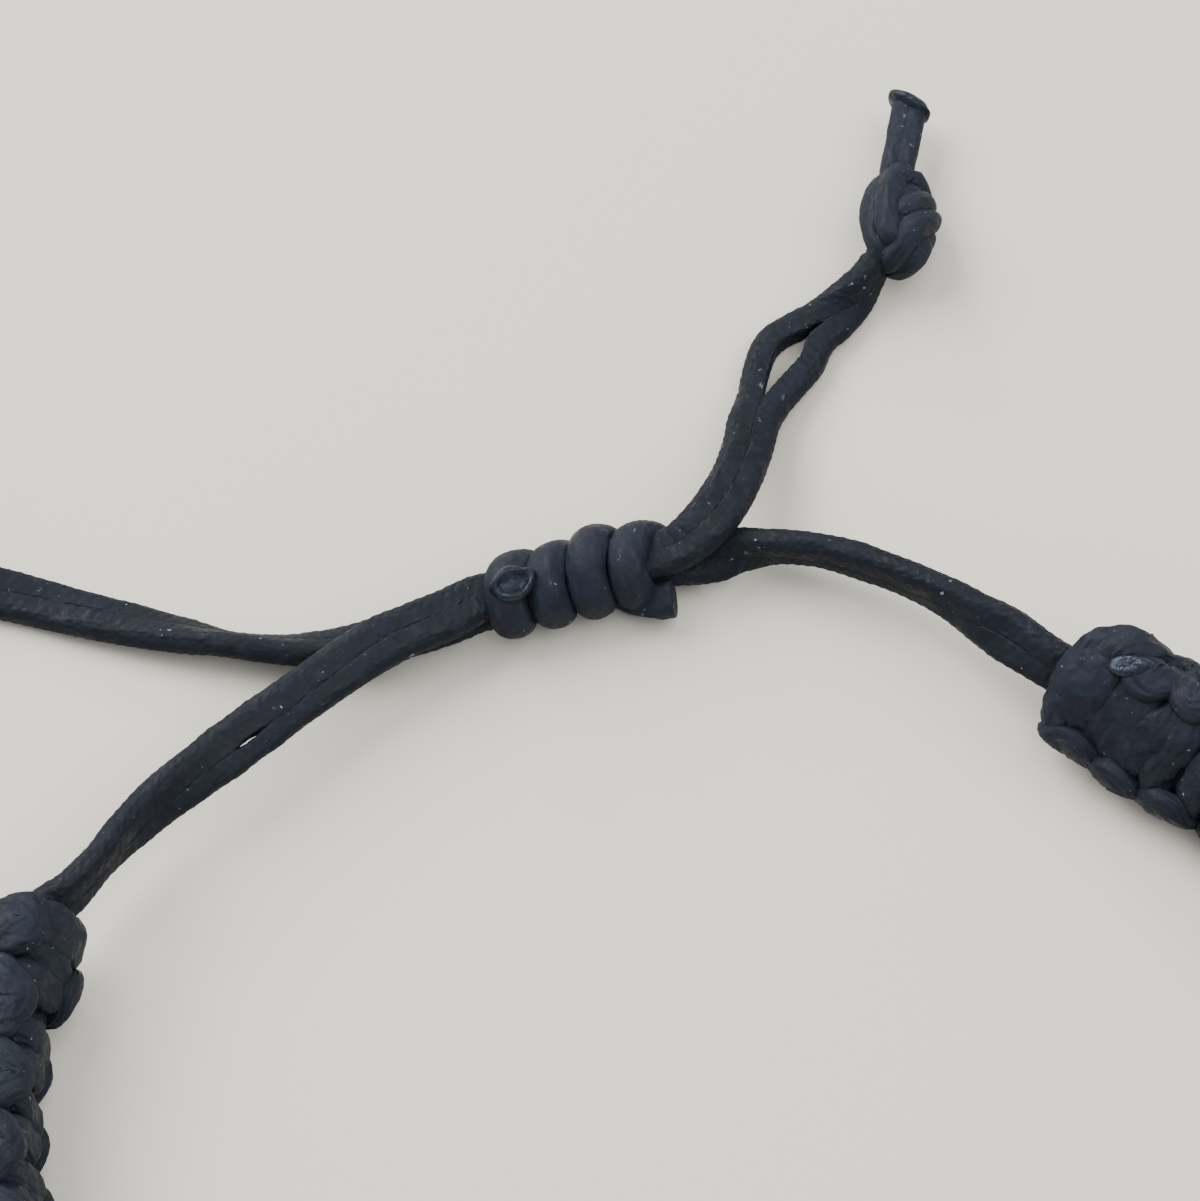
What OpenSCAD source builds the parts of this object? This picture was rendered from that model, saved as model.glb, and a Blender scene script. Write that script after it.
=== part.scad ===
// Adjustable cord bracelet: a band of square knots on a pair of core cords,
// closed by a sliding knot that is wrapped round the crossed core cords.
// Millimetres. Z is up, the bracelet lies on the plane z = 0 with its loop round the origin,
// and the closure is on the +Y side.

/* [Cord] */
// Diameter of the slack waxed cord
cord_d = 1; // [0.9:0.05:1.05]
// Space left between cords that run side by side
cord_clearance = 0.06; // [0.04:0.01:0.1]

/* [Band] */
// Width of the knotted band, across the wrist
band_w = 6.2; // [5.6:0.1:6.6]
// Thickness of the knotted band
band_t = 3.7; // [3.2:0.1:4]
// Number of square knots along the band
knot_count = 45; // [43:1:47]
// How far the side loops stand out, as a share of the section
loop_relief = 0.07; // [0.02:0.01:0.1]
// Depth of the dip between two knots, as a share of the section
knot_dip = 0.12; // [0.02:0.01:0.2]
// Size of the band's end faces, as a share of the section
end_share = 0.82; // [0.75:0.01:1]

/* [Sliding knot] */
// Number of turns wrapped round the four cords
wrap_count = 5; // [4:1:6]
// Length of the sliding knot
slide_len = 8; // [7.5:0.1:8.5]
// Outer diameter over the turns
slide_d = 3.6; // [3.5:0.05:3.7]
// Depth of the groove between two turns
wrap_groove = 0.3; // [0.2:0.05:0.5]
// Diameter of the melted button that ends the wrapping cord
button_d = 1.8; // [1.4:0.1:2]
// Diameter of the cut stub at the other end of the wrapping cord
stub_d = 1.5; // [1.2:0.1:1.6]

/* [Hidden] */

cord_colour = [0.05, 0.055, 0.07];
band_colour = [0.07, 0.075, 0.095];
melt_colour = [0.11, 0.12, 0.14];

// Distance between two slack cords that run side by side
side_gap = cord_d + cord_clearance;
// The same inside the sliding knot, where the cords are squeezed, two above and two below its axis
squeezed_gap = 0.95;
squeezed_clearance = 0.04;
bore_clearance = 0.06;
bore_r = squeezed_gap / sqrt(2) + (squeezed_gap - squeezed_clearance) / 2 + bore_clearance;

// The melted button faces up and into the loop, and the cut stub is low on the other end.
// Their turn is in degrees round the sliding knot, and they stand out from its wraps
button_turn = 215;
button_rise = 0.2;
stub_turn = 275;
stub_rise = 0.7;

// The band's centre line: where the left end starts, its heading in degrees, and its arcs
band_start = [-28.2, 12.3, -110];
// Each row is [length of the arc, how far it turns to the left in degrees]
band_arcs = [[8, 22], [8, 8], [48, 86], [36, 77], [30, 62], [7, 0]];
// Each row is [distance along the band, outward lean of the band in degrees]
band_lean = [[0, 28], [4, 22], [9, 14], [40, 8], [95, 8], [118, 22], [130, 38], [137, 40]];
band_len = sum([for (arc = band_arcs) arc[0]]);
section_sides = 12;
section_square = 0.65;
rings_per_knot = 4;

// The pair of cords from the band's left end, through the sliding knot to the right end knot.
// Each row is [x, y, z of the pair's middle, roll of the pair in degrees, distance between its cords]
left_route = [
    [-28.17, 12.38, 3.2, 62, side_gap], [-27.85, 13.0, 3.2, 68, side_gap], [-27.05, 13.65, 3.2, 76, side_gap],
    [-26.0, 15.05, 3.1, 88, side_gap], [-24.9, 16.5, 3.0, 74, side_gap], [-23.6, 17.9, 2.95, 55, side_gap],
    [-22.0, 19.3, 2.9, 28, side_gap], [-20.4, 20.7, 2.85, 12, 1.22], [-18.9, 22.0, 2.75, 15, 1.1],
    [-17.1, 23.5, 2.7, 12, 1.1], [-15.2, 25.0, 2.6, 8, 1.15], [-13.6, 25.9, 2.5, 8, side_gap],
    [-12.2, 26.6, 2.4, 5, side_gap], [-11.5, 27.08, 2.32, 3, 1], [-10.8, 27.43, 2.28, 0, squeezed_gap],
    [-9.0, 27.95, 2.28, 0, squeezed_gap], [-7.0, 28.5, 2.28, 0, squeezed_gap],
    [-5.0, 29.05, 2.28, 0, squeezed_gap], [-3.1, 29.6, 2.32, 0, squeezed_gap], [-2.4, 29.92, 2.55, 0, 1],
    [-1.7, 30.5, 2.88, 2, side_gap], [-1.1, 31.3, 2.9, 5, 1.1], [-0.4, 32.8, 2.55, 8, side_gap],
    [0.1, 34.5, 1.95, 8, side_gap], [0.4, 36.0, 1.5, 4, 1.25], [0.8, 37.2, 1.1, 0, 1.45],
    [1.4, 38.5, 0.75, 0, 1.8], [2.2, 39.8, 0.6, 0, 2.05], [3.0, 40.8, 0.6, 3, 1.7], [3.8, 41.65, 0.74, 16, 1.25],
    [4.6, 42.4, 0.95, 50, side_gap], [5.2, 43.1, 1.25, 74, side_gap], [5.7, 43.9, 1.55, 86, side_gap],
    [5.95, 44.6, 1.7, 88, side_gap]];

// The pair from the band's right end, through the sliding knot to the left end knot; columns as above
right_route = [
    [12.6, 23.78, 3.1, 130, side_gap], [11.8, 24.35, 3.07, 134, side_gap], [10.6, 25.35, 2.95, 140, 1.15],
    [9.5, 26.2, 2.8, 118, side_gap], [8.3, 27.15, 2.7, 98, side_gap], [7.1, 27.9, 2.55, 88, side_gap],
    [5.6, 28.7, 2.4, 86, side_gap], [4.1, 29.38, 2.2, 85, side_gap], [2.8, 29.8, 2.02, 80, side_gap],
    [1.6, 30.03, 1.85, 83, side_gap], [0.6, 30.1, 1.65, 92, side_gap], [-0.4, 30.05, 1.48, 112, side_gap],
    [-1.3, 29.85, 1.32, 145, side_gap], [-2.2, 29.7, 1.26, 170, 1], [-3.1, 29.55, 1.32, 180, squeezed_gap],
    [-5.0, 29.05, 1.33, 180, squeezed_gap], [-7.0, 28.5, 1.33, 180, squeezed_gap],
    [-9.0, 27.95, 1.33, 180, squeezed_gap], [-10.9, 27.45, 1.3, 180, squeezed_gap],
    [-11.8, 27.15, 1.17, 180, 1], [-12.8, 26.85, 1, 181, side_gap], [-14.6, 26.35, 0.82, 188, side_gap],
    [-16.6, 25.88, 0.82, 208, side_gap], [-18.8, 25.7, 0.95, 230, side_gap], [-21.0, 25.9, 1, 240, side_gap],
    [-23.0, 26.35, 0.9, 222, side_gap], [-25.0, 26.87, 0.78, 206, side_gap],
    [-27.5, 27.55, 0.65, 192, side_gap], [-29.5, 28.15, 0.6, 180, side_gap],
    [-31.2, 28.55, 0.78, 165, side_gap], [-32.6, 28.85, 1.15, 145, side_gap],
    [-33.7, 29.05, 1.5, 126, side_gap], [-34.6, 29.2, 1.7, 116, side_gap]];
tube_sides = 8;

// Where the sliding knot's middle lies, with its heading
slide_place = [-7, 28.5, 1.8, 15.4];

// Where the cords enter each end knot, with the knot's heading
right_knot_place = [6.04, 44.85, 1.7, 80];
left_knot_place = [-34.85, 29.24, 1.7, 180];
// Each row of the end knot is [distance along it, offset to its left, turn of the section in degrees,
// half width, half height]: mouth, body, neck, stub and the melted tip
end_knot_rows = [
    [0, 0, -10, 0.75, 1.3], [0.6, -0.4, -8, 1.3, 1.55], [1.8, -0.6, 0, 1.7, 1.7], [3.1, -0.35, 5, 1.55, 1.65],
    [4, 0, 5, 1.3, 1.35], [4.6, 0, 0, 0.85, 0.9], [5.2, 0, 0, 0.75, 0.65], [7.1, 0, 0, 0.75, 0.6],
    [7.3, 0, 0, 1, 0.85], [7.8, 0, 0, 1, 0.8], [8, 0, 0, 0.7, 0.5]];

function sum(list, i = 0) = i == len(list) ? 0 : list[i] + sum(list, i + 1);
function signed_power(v, e) = sign(v) * pow(abs(v), e);
function unit(v) = v / norm(v);

// A closed skin over rings of equal length, with flat caps
module skin(rings) {
    n = len(rings[0]);
    last = (len(rings) - 1) * n;
    walls = [for (k = [0 : len(rings) - 2], i = [0 : n - 1])
        let (a = k * n + i, b = k * n + (i + 1) % n) each [[a, b + n, b], [a, a + n, b + n]]];
    caps = [[for (i = [0 : n - 1]) i], [for (i = [n - 1 : -1 : 0]) last + i]];
    polyhedron([for (ring = rings) each ring], concat(walls, caps));
}

// Place and heading after going s along an arc of the given length and turn
function advance(state, s, arc) =
    let (h = state[2], k = arc[1] / arc[0], g = h + k * s)
    k == 0
        ? [state[0] + s * cos(h), state[1] + s * sin(h), h]
        : let (r = 180 / (PI * k)) [state[0] + r * (sin(g) - sin(h)), state[1] - r * (cos(g) - cos(h)), g];

arc_starts = [for (i = 0, state = band_start; i < len(band_arcs);
    state = advance(state, band_arcs[i][0], band_arcs[i]), i = i + 1) state];

function band_state(s, i = 0) =
    i == len(band_arcs) - 1 || s <= band_arcs[i][0]
        ? advance(arc_starts[i], s, band_arcs[i])
        : band_state(s - band_arcs[i][0], i + 1);

// The band's section at a share of one knot: [across the width, across the thickness] for each corner
function band_section(knots) = [for (i = [0 : section_sides - 1])
    let (
        a = -360 * i / section_sides,
        swing = cos(360 * knots),
        relief = 1 - loop_relief * sin(2 * a) * swing - knot_dip * pow(sin(a), 2) * (1 + swing) / 2)
    [band_w / 2 * relief * signed_power(cos(a), section_square),
     band_t / 2 * relief * signed_power(sin(a), section_square)]];

// One ring of the band. It leans outwards and rests on the plane z = 0
function band_ring(s, share) =
    let (
        state = band_state(s),
        lean = lookup(s, band_lean),
        outward = [sin(state[2]), -cos(state[2]), 0],
        width_way = sin(lean) * outward + [0, 0, cos(lean)],
        inner_way = -cos(lean) * outward + [0, 0, sin(lean)],
        rest = max([for (knots = [0, 0.25, 0.5], p = band_section(knots))
            -p[0] * width_way[2] - p[1] * inner_way[2]]),
        middle = [state[0], state[1], rest])
    [for (p = band_section(s / band_len * knot_count))
        middle + share * (p[0] * width_way + p[1] * inner_way)];

module band() {
    last = knot_count * rings_per_knot;
    color(band_colour)
        skin([for (k = [0 : last]) band_ring(band_len * k / last, k == 0 || k == last ? end_share : 1)]);
}

// One cord of a pair, with a ring for each row of the route. side is 1 or -1
module pair_cord(route, side) {
    last = len(route) - 1;
    function travel(k, list) = unit(list[min(k + 1, last)] - list[max(k - 1, 0)]);
    function level_left(t) = unit([-t[1], t[0], 0]);
    middles = [for (row = route) [row[0], row[1], row[2]]];
    cord = [for (k = [0 : last])
        let (t = travel(k, middles), left = level_left(t), roll = route[k][3])
        middles[k] + side * route[k][4] / 2 * (cos(roll) * left + sin(roll) * cross(t, left))];
    color(cord_colour) skin([for (k = [0 : last])
        let (
            t = travel(k, cord),
            left = level_left(t),
            up = cross(t, left),
            r = min(cord_d, route[k][4] - squeezed_clearance) / 2)
        [for (i = [0 : tube_sides - 1])
            let (a = 360 * (i + 0.5) / tube_sides) cord[k] + r * (cos(a) * left + sin(a) * up)]]);
}

module left_cord_outer() { pair_cord(left_route, 1); }
module left_cord_inner() { pair_cord(left_route, -1); }
module right_cord_outer() { pair_cord(right_route, 1); }
module right_cord_inner() { pair_cord(right_route, -1); }

// Wraps stacked along Z, as a turned body with round turns and a bore for the four cords
module wraps() {
    pitch = slide_len / wrap_count;
    outer = [for (k = [0 : wrap_count - 1], a = [-72 : 24 : 72])
        [slide_d / 2 - wrap_groove * (1 - cos(a)), (k + 0.5 - wrap_count / 2) * pitch + pitch / 2 * sin(a)]];
    rotate_extrude($fn = 48)
        polygon(concat([[bore_r, -slide_len / 2]], outer, [[bore_r, slide_len / 2]]));
}

module sliding_knot() {
    wall_mid = (slide_d / 2 + bore_r) / 2;
    end_z = slide_len / 2 - slide_len / wrap_count / 2;
    translate([slide_place[0], slide_place[1], slide_place[2]]) rotate([0, 90, slide_place[3]]) {
        color(cord_colour) wraps();
        color(melt_colour) rotate([0, 0, button_turn]) translate([wall_mid, 0, -end_z]) rotate([0, 90, 0])
            cylinder(d = button_d, h = slide_d / 2 + button_rise - wall_mid, $fn = 32);
        color(melt_colour) rotate([0, 0, stub_turn]) translate([wall_mid, 0, end_z]) rotate([0, 90, 0])
            cylinder(d = stub_d, h = slide_d / 2 + stub_rise - wall_mid, $fn = 32);
    }
}

module end_knot(place) {
    color(cord_colour) translate([place[0], place[1], place[2]]) rotate([0, 0, place[3]])
        skin([for (row = end_knot_rows)
            [for (i = [0 : section_sides - 1])
                let (
                    a = 360 * i / section_sides,
                    across = row[3] * signed_power(cos(a), 0.85),
                    up = row[4] * signed_power(sin(a), 0.85))
                [row[0] - across * sin(row[2]), row[1] + across * cos(row[2]), up]]]);
}

module right_end_knot() { end_knot(right_knot_place); }
module left_end_knot() { end_knot(left_knot_place); }

band();
left_cord_outer();
left_cord_inner();
right_cord_outer();
right_cord_inner();
sliding_knot();
right_end_knot();
left_end_knot();
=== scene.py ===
import math
import random

import bmesh
import bpy
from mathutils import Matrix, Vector, noise


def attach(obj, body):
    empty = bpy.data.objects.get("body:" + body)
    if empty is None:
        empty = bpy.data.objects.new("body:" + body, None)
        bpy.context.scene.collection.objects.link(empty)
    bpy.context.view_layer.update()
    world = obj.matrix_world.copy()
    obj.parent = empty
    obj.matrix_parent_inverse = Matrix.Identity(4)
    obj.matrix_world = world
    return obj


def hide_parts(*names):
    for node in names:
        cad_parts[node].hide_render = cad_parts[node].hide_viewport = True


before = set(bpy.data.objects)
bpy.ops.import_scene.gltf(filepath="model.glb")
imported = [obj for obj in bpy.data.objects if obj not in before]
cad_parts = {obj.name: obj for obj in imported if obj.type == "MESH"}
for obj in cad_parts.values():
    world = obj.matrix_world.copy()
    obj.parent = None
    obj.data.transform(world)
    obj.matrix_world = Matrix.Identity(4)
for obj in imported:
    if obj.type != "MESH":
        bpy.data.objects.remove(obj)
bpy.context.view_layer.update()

mm = 0.001      # sizes below are in millimetres, and turn to metres as each mesh is made
up = Vector((0, 0, 1))


# Camera: the photograph's own view, down over the closure

cameraView = {
    "lookAt": (-6, 28.5, 0),
    "distance": 240,
    "elevation": 62,        # degrees above the floor
    "pixelsPerMm": 24.15,   # at the point it looks at
    "photoSize": (1200, 1201),
}


def makeCamera():
    view = cameraView
    tilt = math.radians(view["elevation"])
    data = bpy.data.cameras.new("photoCamera")
    data.sensor_width = 36
    data.lens = view["pixelsPerMm"] * view["distance"] * data.sensor_width / max(view["photoSize"])
    data.clip_start = 0.01
    camera = bpy.data.objects.new("photoCamera", data)
    bpy.context.scene.collection.objects.link(camera)
    back = Vector((0, -math.cos(tilt), math.sin(tilt))) * view["distance"]
    camera.location = (Vector(view["lookAt"]) + back) * mm
    camera.rotation_euler = (math.pi / 2 - tilt, 0, 0)
    bpy.context.scene.camera = camera
    print("camera set")


# Shared tools: smooth rows of numbers, and a cord swept along a line of points

# a smooth curve through four rows: u goes from 0 at b to 1 at c
def between(a, b, c, d, u):
    return [
        (2 * q + (r - p) * u + (2 * p - 5 * q + 4 * r - s) * u * u + (3 * q - p - 3 * r + s) * u ** 3) / 2
        for p, q, r, s in zip(a, b, c, d)]


def smoothRows(rows, steps):
    last = len(rows) - 1
    smooth = []
    for k in range(last * steps + 1):
        i = min(k // steps, last - 1)
        near = (rows[max(i - 1, 0)], rows[i], rows[i + 1], rows[min(i + 2, last)])
        smooth.append(between(*near, k / steps - i))
    return smooth


def travelAt(points, k):
    return (points[min(k + 1, len(points) - 1)] - points[max(k - 1, 0)]).normalized()


def lookUp(table, s):
    for (a, p), (b, q) in zip(table, table[1:]):
        if s <= b:
            return p + (q - p) * max(s - a, 0) / (b - a)
    return table[-1][1]


# a power under 1 makes a round section squarer
def squarer(value, power):
    return math.copysign(abs(value) ** power, value)


def finishPiece(name, shape, material):
    if shape.calc_volume(signed=True) < 0:
        bmesh.ops.reverse_faces(shape, faces=shape.faces)
    for face in shape.faces:
        face.smooth = True
    mesh = bpy.data.meshes.new(name)
    shape.to_mesh(mesh)
    shape.free()
    mesh.materials.append(material)
    piece = bpy.data.objects.new(name, mesh)
    bpy.context.scene.collection.objects.link(piece)
    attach(piece, "root")
    return piece


sweep = {
    "domeRows": 4,
    "domeReach": 0.8,       # how far the dome on an end stands out, in half thicknesses of the cord
    "cutReach": 0.15,       # the same on a cut end
    "pressedPower": 0.26,   # makes the side that is pressed on a neighbour nearly flat
    "pressedReach": 1.13,   # and lets it reach into the neighbour
    "thinFrom": 0.25,       # a cord of less than this half thickness loses the relief of its braid
    "lumpScale": 1.2,
    "smallLumpScale": 3.1,
    "smallLumps": 0.5,      # their share of the others
}


# points run along the cord, outs is where its thin side faces, halves is half its thickness and width
def sweepCord(shape, points, outs, halves, sides, square=1.0, relief=0.0, cutEnd=False, pressed=0,
              lumps=0.0):
    last = len(points) - 1
    stations = []
    run = 0
    for k in range(last + 1):
        run += (points[k] - points[k - 1]).length if k else 0
        travel = travelAt(points, k)
        side = travel.cross(outs[k]).normalized()
        out = side.cross(travel)
        thick, wide = halves[k]
        station = [(points[k], side, out, thick, wide, run)]
        if k in (0, last):
            # the end is closed by a dome that shrinks to its pole
            way = -1 if k == 0 else 1
            reach = min(thick, wide) * sweep["cutReach" if cutEnd and k == last else "domeReach"]
            for j in range(1, sweep["domeRows"] + 1):
                a = math.pi / 2 * j / sweep["domeRows"]
                station.append((points[k] + travel * way * reach * math.sin(a), side, out,
                                thick * math.cos(a), wide * math.cos(a), run + way * reach * math.sin(a)))
            if k == 0:
                station.reverse()
        stations += station
    rows = len(stations) - 1
    uvLayer = shape.loops.layers.uv.verify()
    grid = bmesh.ops.create_grid(shape, x_segments=sides, y_segments=rows, size=0.5, calc_uvs=True)["verts"]
    for face in {face for vert in grid for face in vert.link_faces}:
        for loop in face.loops:
            row = round((loop.vert.co.y + 0.5) * rows)
            loop[uvLayer].uv = (loop.vert.co.x + 0.5, stations[row][5])
    for vert in grid:
        centre, side, out, thick, wide, run = stations[round((vert.co.y + 0.5) * rows)]
        turn = vert.co.x + 0.5
        a = turn * math.tau
        grow = relief * braidAt(turn, run) * min(1, thick / sweep["thinFrom"])
        flat = pressed * math.sin(a) > 0
        power = sweep["pressedPower"] if flat else square
        height = thick * (sweep["pressedReach"] if flat else 1) + grow
        across = squarer(math.cos(a), power) * (wide + grow)
        upward = squarer(math.sin(a), power) * height
        away = side * across + out * upward
        spot = centre + away
        uneven = noise.noise(spot * sweep["lumpScale"])
        uneven += sweep["smallLumps"] * noise.noise(spot * sweep["smallLumpScale"])
        vert.co = (spot + away * lumps * uneven) * mm
    # closes the seam and the two poles
    bmesh.ops.remove_doubles(shape, verts=grid, dist=1e-8)
    return run


# the cord's own braid: strands that cross in long diamonds round it
braid = {"carriers": 8, "crossingsPerMm": 2.1}


def braidAt(turn, run):
    around = turn * braid["carriers"]
    along = run * braid["crossingsPerMm"]
    return abs(math.sin(math.pi * (around + along)) * math.sin(math.pi * (around - along)))


# Materials: near-black waxed braid, and the glassy ends where the cord was melted

cordLook = {
    "colour": (0.0095, 0.0120, 0.0184, 1),
    # lighter colour of the wax film, which also serves as a painted highlight along streak and fold crests
    "waxFilmAndSheen": (0.0162, 0.0200, 0.0288, 1),
    "purple": (0.0108, 0.0115, 0.0190, 1),
    "green": (0.0085, 0.0124, 0.0165, 1),
    # colour of the pale specks: partly wax crumbs, partly painted glints
    "speckAndGlint": (0.17, 0.18, 0.20, 1),
    # painted light and shade: the closure, knot and band cords share one colour, made darker or lighter per
    # material to match how brightly each part is lit
    "shade": {"waxedClosureCord": 0.63, "waxedKnotCord": 1.0, "waxedBandCord": 0.93},
    "roughness": (0.42, 0.78),
    "specular": 0.11,
    # noises: scale and detail, and for those along the cord roughness too
    "wax": (650, 4),
    "grain": (5200, 3),
    "tinge": (330, 2),
    "crumbsAndGlints": (3800, 2),
    "streaks": (1.0, 3, 0.6),
    "folds": (0.95, 1, 0.4),
    "streakRepeat": (11.0, 1.3),        # round the cord, and on each millimetre of it
    # between which levels of its noise each one comes in, and how weak and strong it gets
    "waxShows": (0.42, 0.68),
    "streakSheenShows": (0.35, 0.65, 0.4, 1.0),
    "foldSheenShows": (0.55, 0.72, 0, 0.9),
    "purpleFades": (0.36, 0.44),
    "greenShows": (0.56, 0.64),
    "crumbsAndGlintsShow": (0.70, 0.76),
    "streakGlintsShow": (0.67, 0.76, 0, 0.55),
    "specksAndGlintsShow": (0.47, 0.56),
    "roughShows": (0.55, 0.95),
    "grainInRough": 0.5,
    # depths are in metres
    "waxDepth": {"waxedClosureCord": 0.00014, "waxedKnotCord": 0.00014, "waxedBandCord": 0.00030},
    "braidDepth": 0.000013,
    "streakDepth": {"waxedClosureCord": 0.00004, "waxedKnotCord": 0.00005, "waxedBandCord": 0.00010},
    "foldsToStreaks": 3,                # how much deeper a fold is than a streak
    "grainDepth": 0.00001,
    "strength": {"wax": 0.6, "braid": 0.6, "folds": 0.9, "streaks": 0.8, "grain": 0.8},
}


class NodeBench:
    def __init__(self, name):
        self.material = bpy.data.materials.new(name)
        self.material.use_nodes = True
        self.tree = self.material.node_tree
        self.shader = self.tree.nodes["Principled BSDF"]

    def add(self, kind, **settings):
        node = self.tree.nodes.new("ShaderNode" + kind)
        for key, value in settings.items():
            setattr(node, key, value)
        return node

    def link(self, source, target):
        self.tree.links.new(source, target)

    def math(self, operation, a, b=None):
        node = self.add("Math", operation=operation)
        for socket, value in zip(node.inputs, (a, b)):
            if isinstance(value, (int, float)):
                socket.default_value = value
            elif value is not None:
                self.link(value, socket)
        return node.outputs[0]

    def noise(self, coordinates, scale, detail, roughness=0.5):
        node = self.add("TexNoise")
        node.inputs["Scale"].default_value = scale
        node.inputs["Detail"].default_value = detail
        node.inputs["Roughness"].default_value = roughness
        self.link(coordinates, node.inputs["Vector"])
        return node.outputs["Fac"]

    def ramp(self, value, low, high, outLow=0.0, outHigh=1.0):
        node = self.add("MapRange")
        node.inputs["From Min"].default_value = low
        node.inputs["From Max"].default_value = high
        node.inputs["To Min"].default_value = outLow
        node.inputs["To Max"].default_value = outHigh
        self.link(value, node.inputs["Value"])
        return node.outputs["Result"]

    def mixColour(self, factor, a, b):
        node = self.add("Mix", data_type="RGBA")
        self.link(factor, node.inputs["Factor"])
        # a colour mix has its two colours on sockets 6 and 7, and its result on output 2
        for socket, value in ((node.inputs[6], a), (node.inputs[7], b)):
            if isinstance(value, tuple):
                socket.default_value = value
            else:
                self.link(value, socket)
        return node.outputs[2]

    def bump(self, height, distance, strength, normal=None):
        node = self.add("Bump")
        node.inputs["Distance"].default_value = distance
        node.inputs["Strength"].default_value = strength
        self.link(height, node.inputs["Height"])
        if normal:
            self.link(normal, node.inputs["Normal"])
        return node.outputs["Normal"]


def shaded(rgba, shade):
    return tuple(c * shade for c in rgba[:3]) + (1,)


def waxedCordMaterial(name, look):
    bench = NodeBench(name)
    place = bench.add("TexCoord")
    uv = bench.add("SeparateXYZ")
    bench.link(place.outputs["UV"], uv.inputs[0])
    around = bench.math("MULTIPLY", uv.outputs[0], braid["carriers"])
    along = bench.math("MULTIPLY", uv.outputs[1], braid["crossingsPerMm"])
    left = bench.math("SINE", bench.math("MULTIPLY", bench.math("ADD", around, along), math.pi))
    right = bench.math("SINE", bench.math("MULTIPLY", bench.math("SUBTRACT", around, along), math.pi))
    crossing = bench.math("ABSOLUTE", bench.math("MULTIPLY", left, right))

    # short fibre streaks and longer folds run along the cord, under a patchy film of wax; the film colour is
    # lighter in the wax patches, and lighter along the streak and fold crests as a painted highlight
    streakPlace = bench.add("CombineXYZ")
    for axis, repeat in enumerate(look["streakRepeat"]):
        bench.link(bench.math("MULTIPLY", uv.outputs[axis], repeat), streakPlace.inputs[axis])
    streaks = bench.noise(streakPlace.outputs[0], *look["streaks"])
    folds = bench.noise(streakPlace.outputs[0], *look["folds"])
    wax = bench.noise(place.outputs["Object"], *look["wax"])
    grain = bench.noise(place.outputs["Object"], *look["grain"])
    waxed = bench.ramp(wax, *look["waxShows"])
    filmSheenMask = bench.math("MULTIPLY", waxed, bench.ramp(streaks, *look["streakSheenShows"]))
    filmSheenMask = bench.math("MAXIMUM", filmSheenMask, bench.ramp(folds, *look["foldSheenShows"]))

    # painted shade: each cord material takes its own darker or lighter copy of the colours
    plain, waxFilmAndSheen, purple, green = [
        shaded(look[key], look["shade"][name]) for key in ("colour", "waxFilmAndSheen", "purple", "green")]
    tinge = bench.noise(place.outputs["Object"], *look["tinge"])
    tinted = bench.mixColour(bench.ramp(tinge, *look["purpleFades"]), purple, plain)
    tinted = bench.mixColour(bench.ramp(tinge, *look["greenShows"]), tinted, green)
    colour = bench.mixColour(filmSheenMask, tinted, waxFilmAndSheen)

    # pale specks, partly crumbs of wax and dust and partly painted glints, and pale marks on the streak
    # crests, which are painted glints
    crumbsAndGlints = bench.ramp(bench.noise(place.outputs["Object"], *look["crumbsAndGlints"]), *look["crumbsAndGlintsShow"])
    streakGlints = bench.ramp(streaks, *look["streakGlintsShow"])
    specksAndGlints = bench.math("MULTIPLY", bench.math("MAXIMUM", crumbsAndGlints, streakGlints),
                        bench.ramp(wax, *look["specksAndGlintsShow"]))
    bench.link(bench.mixColour(specksAndGlints, colour, look["speckAndGlint"]), bench.shader.inputs["Base Color"])

    grained = bench.math("ADD", wax, bench.math("MULTIPLY", grain, look["grainInRough"]))
    rough = bench.ramp(grained, *look["roughShows"], *look["roughness"])
    bench.link(rough, bench.shader.inputs["Roughness"])
    bench.shader.inputs["Specular IOR Level"].default_value = look["specular"]

    strength = look["strength"]
    streakDepth = look["streakDepth"][name]
    low = bench.bump(wax, look["waxDepth"][name], strength["wax"])
    low = bench.bump(crossing, look["braidDepth"], strength["braid"], low)
    low = bench.bump(folds, streakDepth * look["foldsToStreaks"], strength["folds"], low)
    low = bench.bump(streaks, streakDepth, strength["streaks"], low)
    bench.link(bench.bump(grain, look["grainDepth"], strength["grain"], low), bench.shader.inputs["Normal"])
    return bench.material


meltLook = {
    "colour": (0.0060, 0.0074, 0.0105, 1),
    "pale": (0.0120, 0.0142, 0.0190, 1),
    "roughness": {"meltedCord": (0.26, 0.58), "meltedButton": (0.28, 0.54), "meltedBand": (0.12, 0.60)},
    "specular": {"meltedCord": 0.20, "meltedButton": 0.24, "meltedBand": 0.34},
    "reflection": (0.66, 0.80, 1.0, 1),     # its highlights are bluish
    "swirl": (1400, 3),                     # scale and detail of a noise
    "pits": (4200, 2),
    "paleShows": (0.4, 0.65),
    "pitsShow": (0.35, 0.7),
    "swirlDepth": 0.00022,                  # in metres
    "pitDepth": 0.00004,
    "strength": {"swirl": 0.8, "pits": 0.7},
}


def meltedMaterial(name, look):
    bench = NodeBench(name)
    place = bench.add("TexCoord")
    swirl = bench.noise(place.outputs["Object"], *look["swirl"])
    pits = bench.noise(place.outputs["Object"], *look["pits"])
    colour = bench.mixColour(bench.ramp(swirl, *look["paleShows"]), look["colour"], look["pale"])
    bench.link(colour, bench.shader.inputs["Base Color"])
    rough = bench.ramp(pits, *look["pitsShow"], *look["roughness"][name])
    bench.link(rough, bench.shader.inputs["Roughness"])
    bench.shader.inputs["Specular IOR Level"].default_value = look["specular"][name]
    bench.shader.inputs["Specular Tint"].default_value = look["reflection"]
    low = bench.bump(swirl, look["swirlDepth"], look["strength"]["swirl"])
    low = bench.bump(pits, look["pitDepth"], look["strength"]["pits"], low)
    bench.link(low, bench.shader.inputs["Normal"])
    return bench.material


# The four closure cords. Their routes are the part's own, but for the left one's slit and eye,
# which follow the photograph more closely

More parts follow.
